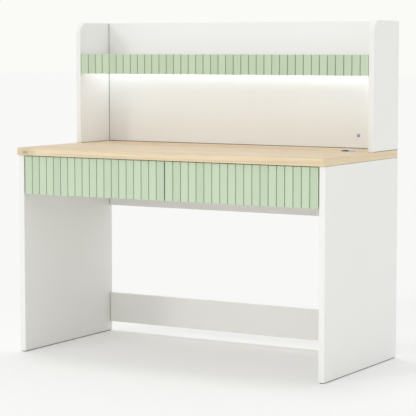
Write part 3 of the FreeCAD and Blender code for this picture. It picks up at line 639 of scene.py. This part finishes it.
class DESK_OT_drawer_boxes(bpy.types.Operator):
    """Face the drawer boxes with melamine and paint their bottoms"""

    bl_idname = "desk.drawer_boxes"
    bl_label = "Drawer boxes"

    def execute(self, context):
        finishes = context.scene.desk_finishes
        melamine = white_melamine("white_melamine_drawer", finishes.drawer_white)
        tray = painted_hardboard(finishes)
        boards = ("inner_front", "left_side", "right_side", "back")
        for drawer in DRAWERS:
            dress(melamine, *[f"{drawer}_{board}" for board in boards])
            dress(tray, f"{drawer}_bottom")
        return {"FINISHED"}


class DESK_OT_slides(bpy.types.Operator):
    """Plate the slides, cams, bolts and brackets"""

    bl_idname = "desk.slides"
    bl_label = "Slides and fittings"

    def execute(self, context):
        finishes = context.scene.desk_finishes
        # Extruded acetal is off-white with a waxy gloss.
        acetal = moulded_plastic("acetal_extruded", finishes.acetal, 0.4)
        members = ("outer", "middle", "inner")
        for drawer in DRAWERS:
            for side in SIDES:
                dress(zinc_plate(finishes), *[f"{drawer}_{side}_{member}_rail" for member in members])
            dress(acetal, f"{drawer}_bearing_strips")
        dress(zinc_plate(finishes), "cam_locks", "cam_bolts", "desktop_brackets")
        return {"FINISHED"}


class DESK_OT_light_bar(bpy.types.Operator):
    """Finish the light bar and light its diffuser"""

    bl_idname = "desk.light_bar"
    bl_label = "Light bar"

    def execute(self, context):
        finishes = context.scene.desk_finishes
        # Satin anodising is a soft grey with lines along the bar.
        line_size = (60, 0.8, 0.8)
        channel = rolled_metal("aluminium_satin_anodised", finishes.aluminium, line_size, 0.32, 0.46)
        dress(channel, "light_channel")
        dress(opal_acrylic(finishes, context.scene.desk_studio), "light_diffuser")
        # Moulded caps are matt and a shade darker than the boards; the strip board is white and smooth.
        dress(moulded_plastic("light_grey_abs_caps", finishes.light_grey, 0.45), "light_end_caps")
        dress(moulded_plastic("white_strip_board", finishes.opal, 0.4), "light_strip_board")
        return {"FINISHED"}


class DESK_OT_touch_switch(bpy.types.Operator):
    """Finish the touch switch"""

    bl_idname = "desk.touch_switch"
    bl_label = "Touch switch"

    def execute(self, context):
        finishes = context.scene.desk_finishes
        # Turned steel is a bright ring that catches the light.
        line_size = (0.8, 5, 0.8)
        dress(rolled_metal("steel_satin_turned", finishes.steel, line_size, 0.25, 0.4), "switch_housing")
        dress(smoked_glass(finishes), "switch_touch_face")
        return {"FINISHED"}


class DESK_OT_grommet(bpy.types.Operator):
    """Finish the cable grommet"""

    bl_idname = "desk.grommet"
    bl_label = "Cable grommet"

    def execute(self, context):
        # Light grey moulding stands out pale and matt on the maple.
        plastic = moulded_plastic("light_grey_abs_grommet", context.scene.desk_finishes.light_grey, 0.42)
        dress(plastic, "grommet_sleeve", "grommet_cap")
        return {"FINISHED"}


class DESK_OT_glides(bpy.types.Operator):
    """Finish the floor glides"""

    bl_idname = "desk.glides"
    bl_label = "Floor glides"

    def execute(self, context):
        dress(black_nylon(context.scene.desk_finishes), "floor_glides")
        return {"FINISHED"}


class DESK_OT_hutch_screws(bpy.types.Operator):
    """Screw the hutch back to its sides and shelf, from the rear"""

    bl_idname = "desk.hutch_screws"
    bl_label = "Hutch back screws"

    def execute(self, context):
        sizes = context.scene.desk_fittings
        inset, up_shares, shelf_shares = 5 * MM, (0.08, 0.3, 0.52, 0.92), (0.1, 0.3, 0.5, 0.7, 0.9)
        low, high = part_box("hutch_back_panel")
        shelf_low, shelf_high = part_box("hutch_shelf")
        spots = []
        for x in (low.x + inset, high.x - inset):
            spots += [(x, along(low.z, high.z, share)) for share in up_shares]
        level = (shelf_low.z + shelf_high.z) / 2
        spots += [(along(shelf_low.x, shelf_high.x, share), level) for share in shelf_shares]
        places = [facing(Vector((x, high.y, z)), REAR) for x, z in spots]
        drive_screws("hutch_back_screws", "carcass", places, sizes.board_screw, sizes.flush_rise, FLUSH_DOME)
        return {"FINISHED"}


class DESK_OT_bracket_screws(bpy.types.Operator):
    """Screw the brackets to the desktop, side panels and divider"""

    bl_idname = "desk.bracket_screws"
    bl_label = "Bracket screws"

    def execute(self, context):
        sizes = context.scene.desk_fittings
        leg, sheet, half_gap, half_width = 22 * MM, 2 * MM, 8 * MM, 15 * MM
        out = leg * 0.6
        low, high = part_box("desktop_brackets")
        divider_low, divider_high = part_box("centre_divider")
        front, rear = low.y + half_width, high.y - half_width
        brackets = (
            (low.x, 1, front), (low.x, 1, rear), (high.x, -1, front), (high.x, -1, rear),
            (divider_low.x, -1, front), (divider_high.x, 1, rear))
        places = []
        for x, inward, y in brackets:
            for offset in (-half_gap, half_gap):
                flat = Vector((x + inward * out, y + offset, high.z - sheet))
                upright = Vector((x + inward * sheet, y + offset, high.z - out))
                places += [facing(flat, DOWN), facing(upright, RIGHT * inward)]
        drive_screws("bracket_screws", "carcass", places, sizes.pan_screw, sizes.pan_rise, PAN_DOME)
        return {"FINISHED"}


class DESK_OT_drawer_screws(bpy.types.Operator):
    """Screw each drawer front to its box, and the box at its corners"""

    bl_idname = "desk.drawer_screws"
    bl_label = "Drawer screws"

    def execute(self, context):
        sizes = context.scene.desk_fittings
        front_head = sizes.pan_screw * 1.2
        across_shares, up_shares = (0.12, 0.88), (0.38, 0.78)
        corner_inset, corner_shares = 6 * MM, (0.16, 0.84)
        for drawer in DRAWERS:
            low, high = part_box(f"{drawer}_inner_front")
            places = []
            for across in across_shares:
                for up in up_shares:
                    spot = Vector((along(low.x, high.x, across), high.y, along(low.z, high.z, up)))
                    places.append(facing(spot, REAR))
            drive_screws(f"{drawer}_front_screws", drawer, places, front_head, sizes.pan_rise, PAN_DOME)

            places = []
            for side, outward in SIDES.items():
                low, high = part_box(f"{drawer}_{side}_side")
                x = low.x if side == "left" else high.x
                for y in (low.y + corner_inset, high.y - corner_inset):
                    for up in corner_shares:
                        places.append(facing(Vector((x, y, along(low.z, high.z, up))), outward))
            drive_screws(
                f"{drawer}_corner_screws", drawer, places, sizes.board_screw, sizes.flush_rise, FLUSH_DOME)
        return {"FINISHED"}


class DESK_OT_rail_screws(bpy.types.Operator):
    """Screw the inner rails to the drawer sides"""

    bl_idname = "desk.rail_screws"
    bl_label = "Rail screws"

    def execute(self, context):
        sizes = context.scene.desk_fittings
        rail_shares = (0.06, 0.26, 0.88)
        for drawer in DRAWERS:
            places = []
            for side, outward in SIDES.items():
                low, high, x = rail_web(drawer, side)
                for share in rail_shares:
                    spot = Vector((x, along(low.y, high.y, share), (low.z + high.z) / 2))
                    places.append(facing(spot, outward))
            drive_screws(
                f"{drawer}_rail_screws", drawer, places, sizes.board_screw, sizes.rail_rise, PAN_DOME)
        return {"FINISHED"}


class DESK_OT_release_levers(bpy.types.Operator):
    """Fit the release levers in the inner rails"""

    bl_idname = "desk.release_levers"
    bl_label = "Release levers"

    def execute(self, context):
        setback = 130 * MM
        for drawer in DRAWERS:
            model = model_lever(context.scene.desk_fittings.lever)
            places = []
            for side, outward in SIDES.items():
                low, high, x = rail_web(drawer, side)
                turn = Matrix((REAR.cross(outward), REAR, outward)).transposed().to_4x4()
                spot = Vector((x, low.y + setback, (low.z + high.z) / 2))
                places.append(Matrix.Translation(spot) @ turn)
            piece = spread(model, f"{drawer}_release_levers", places)
            settle(piece, drawer, black_nylon(context.scene.desk_finishes))
        return {"FINISHED"}


class DESK_OT_bumpers(bpy.types.Operator):
    """Stick rubber bumpers on the divider's front edge"""

    bl_idname = "desk.bumpers"
    bl_label = "Drawer bumpers"

    def execute(self, context):
        sizes = context.scene.desk_fittings
        inset, above_foot, below_top = 3.7 * MM, 20 * MM, 25 * MM
        low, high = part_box("centre_divider")
        model = model_cylinder(24, sizes.bumper / 2, sizes.bumper_rise)
        round_rim(model, sizes.bumper_rise, 0.85, segments=5)
        places = []
        for x in (low.x + inset, high.x - inset):
            for z in (low.z + above_foot, high.z - below_top):
                places.append(facing(Vector((x, low.y, z)), FRONT))
        piece = spread(model, "drawer_bumpers", places)
        # Cast clear rubber is a pale dome with a wet gloss.
        rubber = moulded_plastic("clear_rubber_cast", context.scene.desk_finishes.clear_rubber, 0.25)
        settle(piece, "carcass", rubber)
        return {"FINISHED"}


class DESK_OT_cable_brush(bpy.types.Operator):
    """Fill the cable slot of the grommet cap with bristles"""

    bl_idname = "desk.cable_brush"
    bl_label = "Cable brush"

    def execute(self, context):
        width = context.scene.desk_fittings.bristle
        slot_half, reach, tip_share = 12 * MM, 12.4 * MM, 0.75
        rows, row_gap, layers, lean = 23, 0.84 * MM, 4, 0.06
        cap_radius, slot_end, above_flange, below_top = 26 * MM, 3.6 * MM, 0.7 * MM, 0.4 * MM
        low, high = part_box("grommet_cap")
        lowest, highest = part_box("grommet_sleeve")[1].z + above_flange, high.z - below_top
        model = model_cylinder(6, width / 2, reach)
        bpy.ops.object.mode_set(mode="EDIT")
        pick(model, "FACE", lambda middle, face: face.normal.z > 0.5)
        bpy.ops.transform.resize(value=(tip_share, tip_share, 1))
        bpy.ops.object.mode_set(mode="OBJECT")
        places = []
        for row in range(rows):
            y = high.y - cap_radius - slot_end - row * row_gap
            for layer in range(layers):
                z = along(lowest, highest, layer / (layers - 1))
                # Neighbours lean to and fro a little, out of step.
                sway = lean * math.sin(row * 2.1 + layer * 1.7)
                for side in (-1, 1):
                    root = Vector(((low.x + high.x) / 2 + side * slot_half, y, z))
                    places.append(facing(root, Vector((-side, sway, 0)).normalized()))
        piece = spread(model, "cable_brush", places)
        settle(piece, "grommet_cap", black_nylon(context.scene.desk_finishes))
        return {"FINISHED"}


class DESK_OT_switch_plug(bpy.types.Operator):
    """Close the switch hole at the rear with a ribbed plug"""

    bl_idname = "desk.switch_plug"
    bl_label = "Switch plug"

    def execute(self, context):
        # Inset of each rib as a share of the radius, and its step along the axis.
        ribs = ((0.2, -0.5 * MM), (0.25, 0.5 * MM), (0.3, -0.5 * MM))
        radius, clearance, centre = 5.4 * MM, 0.1 * MM, 0.1 * MM
        low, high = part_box("switch_housing")
        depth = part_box("hutch_back_panel")[1].y - high.y - 2 * clearance
        model = model_cylinder(32, radius, depth)
        bpy.ops.object.mode_set(mode="EDIT")
        for share, step in ribs:
            pick(model, "FACE", lambda middle, face: face.normal.z > 0.5 and middle.xy.length < centre)
            bpy.ops.mesh.inset(thickness=radius * share)
            bpy.ops.mesh.extrude_region_move(TRANSFORM_OT_translate={"value": (0, 0, step)})
        bpy.ops.object.mode_set(mode="OBJECT")
        spot = Vector(((low.x + high.x) / 2, high.y + clearance, (low.z + high.z) / 2))
        piece = spread(model, "switch_plug", [facing(spot, REAR)])
        # Light grey moulding, as on the grommet, is a matt dot in the white rear face.
        plug = moulded_plastic("light_grey_abs_plug", context.scene.desk_finishes.light_grey, 0.45)
        settle(piece, "carcass", plug)
        return {"FINISHED"}


class DESK_OT_stage(bpy.types.Operator):
    """Set the floor, the backdrop, the lights and the camera"""

    bl_idname = "desk.stage"
    bl_label = "Stage"

    def execute(self, context):
        studio = context.scene.desk_studio
        link = context.scene.collection.objects.link

        floor_size, floor_drop = 120, 0.2 * MM
        select_only()
        bpy.ops.mesh.primitive_plane_add(size=floor_size, location=(0, 0, -floor_drop))
        floor = context.object
        floor.name = "studio_floor"
        # Plain paper is matt and white; a share of its shadow is hidden from the camera.
        paper, tree = start_material("studio_paper")
        seen = add(tree, "ShaderNodeLightPath").outputs["Is Camera Ray"]
        lift = add(tree, "ShaderNodeMath", {0: seen, 1: studio.floor_lift}, operation="MULTIPLY")
        matt = add(tree, "ShaderNodeBsdfDiffuse", {"Color": tuple(studio.floor)})
        bright = add(tree, "ShaderNodeEmission", {"Color": tuple(studio.floor), "Strength": 1.0})
        surface = add(tree, "ShaderNodeMixShader", {0: lift, 1: matt, 2: bright})
        add(tree, "ShaderNodeOutputMaterial", {"Surface": surface})
        floor.data.materials.append(paper)

        # The backdrop is what the camera and reflections see; the sky is what lights the desk.
        world = bpy.data.worlds.new("studio")
        context.scene.world = world
        world.use_nodes = True
        world.node_tree.nodes.clear()
        tree = world.node_tree
        path = add(tree, "ShaderNodeLightPath").outputs
        mirrored = add(tree, "ShaderNodeMath", {
            0: path["Is Glossy Ray"], 1: path["Is Transmission Ray"]}, operation="MAXIMUM")
        shown = add(tree, "ShaderNodeMath", {0: path["Is Camera Ray"], 1: mirrored}, operation="MAXIMUM")
        sky = add(tree, "ShaderNodeBackground", {"Color": (1, 1, 1, 1), "Strength": studio.sky})
        backdrop = add(tree, "ShaderNodeBackground", {"Color": tuple(studio.backdrop), "Strength": 1.0})
        both = add(tree, "ShaderNodeMixShader", {0: shown, 1: sky, 2: backdrop})
        add(tree, "ShaderNodeOutputWorld", {"Surface": both})

        suns = (
            ("fill", studio.fill, 12, Vector((-0.4, -0.83, 0.37))),
            ("key", studio.key, 20, Vector((-0.22, 0.14, 0.965))))
        for name, level, degrees, towards in suns:
            lamp = bpy.data.lights.new(name, "SUN")
            lamp.energy = level * math.pi
            lamp.angle = math.radians(degrees)
            holder = bpy.data.objects.new(name, lamp)
            holder.rotation_euler = towards.to_track_quat("Z", "Y").to_euler()
            link(holder)

        # A low card in front throws a little light under the desktop; its grid keeps it off the floor.
        card_spot, card_aim = Vector((0.1, -2.4, 0.3)), Vector((0, 0.2, 0.4))
        card = bpy.data.lights.new("card", "AREA")
        card.shape = "RECTANGLE"
        card.size = 1.6
        card.size_y = 0.4
        card.spread = math.radians(60)
        card.energy = studio.card
        holder = bpy.data.objects.new("card", card)
        holder.location = card_spot
        holder.rotation_euler = (card_spot - card_aim).to_track_quat("Z", "Y").to_euler()
        holder.visible_camera = False
        link(holder)

        camera_place, pitch, turn = (3.1557, -5.3511, 1.1068), 90 - 5.2568, 30.4413
        camera = bpy.data.cameras.new("camera")
        camera.lens = studio.lens
        camera.sensor_width = 36
        camera.clip_end = 200
        holder = bpy.data.objects.new("camera", camera)
        holder.location = camera_place
        holder.rotation_euler = (math.radians(pitch), 0, math.radians(turn))
        link(holder)
        context.scene.camera = holder
        context.scene.view_settings.view_transform = "Standard"
        return {"FINISHED"}


OPERATORS = (
    DESK_OT_white_boards, DESK_OT_desktop, DESK_OT_grooved_fronts, DESK_OT_drawer_boxes, DESK_OT_slides,
    DESK_OT_light_bar, DESK_OT_touch_switch, DESK_OT_grommet, DESK_OT_glides, DESK_OT_hutch_screws,
    DESK_OT_bracket_screws, DESK_OT_drawer_screws, DESK_OT_rail_screws, DESK_OT_release_levers,
    DESK_OT_bumpers, DESK_OT_cable_brush, DESK_OT_switch_plug, DESK_OT_stage,
)


class DESK_PT_sidebar(bpy.types.Panel):
    """Finishes, fittings and studio of the desk"""

    bl_idname = "DESK_PT_sidebar"
    bl_label = "Student desk"
    bl_space_type = "VIEW_3D"
    bl_region_type = "UI"
    bl_category = "Desk"

    def draw(self, context):
        scene = context.scene
        groups = (
            ("Finishes", scene.desk_finishes), ("Fittings", scene.desk_fittings),
            ("Studio", scene.desk_studio))
        for title, group in groups:
            box = self.layout.box()
            box.label(text=title)
            for name in group.__annotations__:
                box.prop(group, name)
        for operator in OPERATORS:
            self.layout.operator(operator.bl_idname)


CLASSES = (DeskFinishes, FittingSizes, StudioSettings, *OPERATORS, DESK_PT_sidebar)


def register():
    """Register the classes and hang their settings on the scene."""
    for item in CLASSES:
        bpy.utils.register_class(item)
    bpy.types.Scene.desk_finishes = bpy.props.PointerProperty(type=DeskFinishes)
    bpy.types.Scene.desk_fittings = bpy.props.PointerProperty(type=FittingSizes)
    bpy.types.Scene.desk_studio = bpy.props.PointerProperty(type=StudioSettings)


def unregister():
    """Remove the settings and the classes."""
    del bpy.types.Scene.desk_studio, bpy.types.Scene.desk_fittings, bpy.types.Scene.desk_finishes
    for item in reversed(CLASSES):
        bpy.utils.unregister_class(item)


def main():
    """Build everything in order."""
    register()
    for operator in OPERATORS:
        group, name = operator.bl_idname.split(".")
        getattr(getattr(bpy.ops, group), name)()


if __name__ == "__main__":
    main()
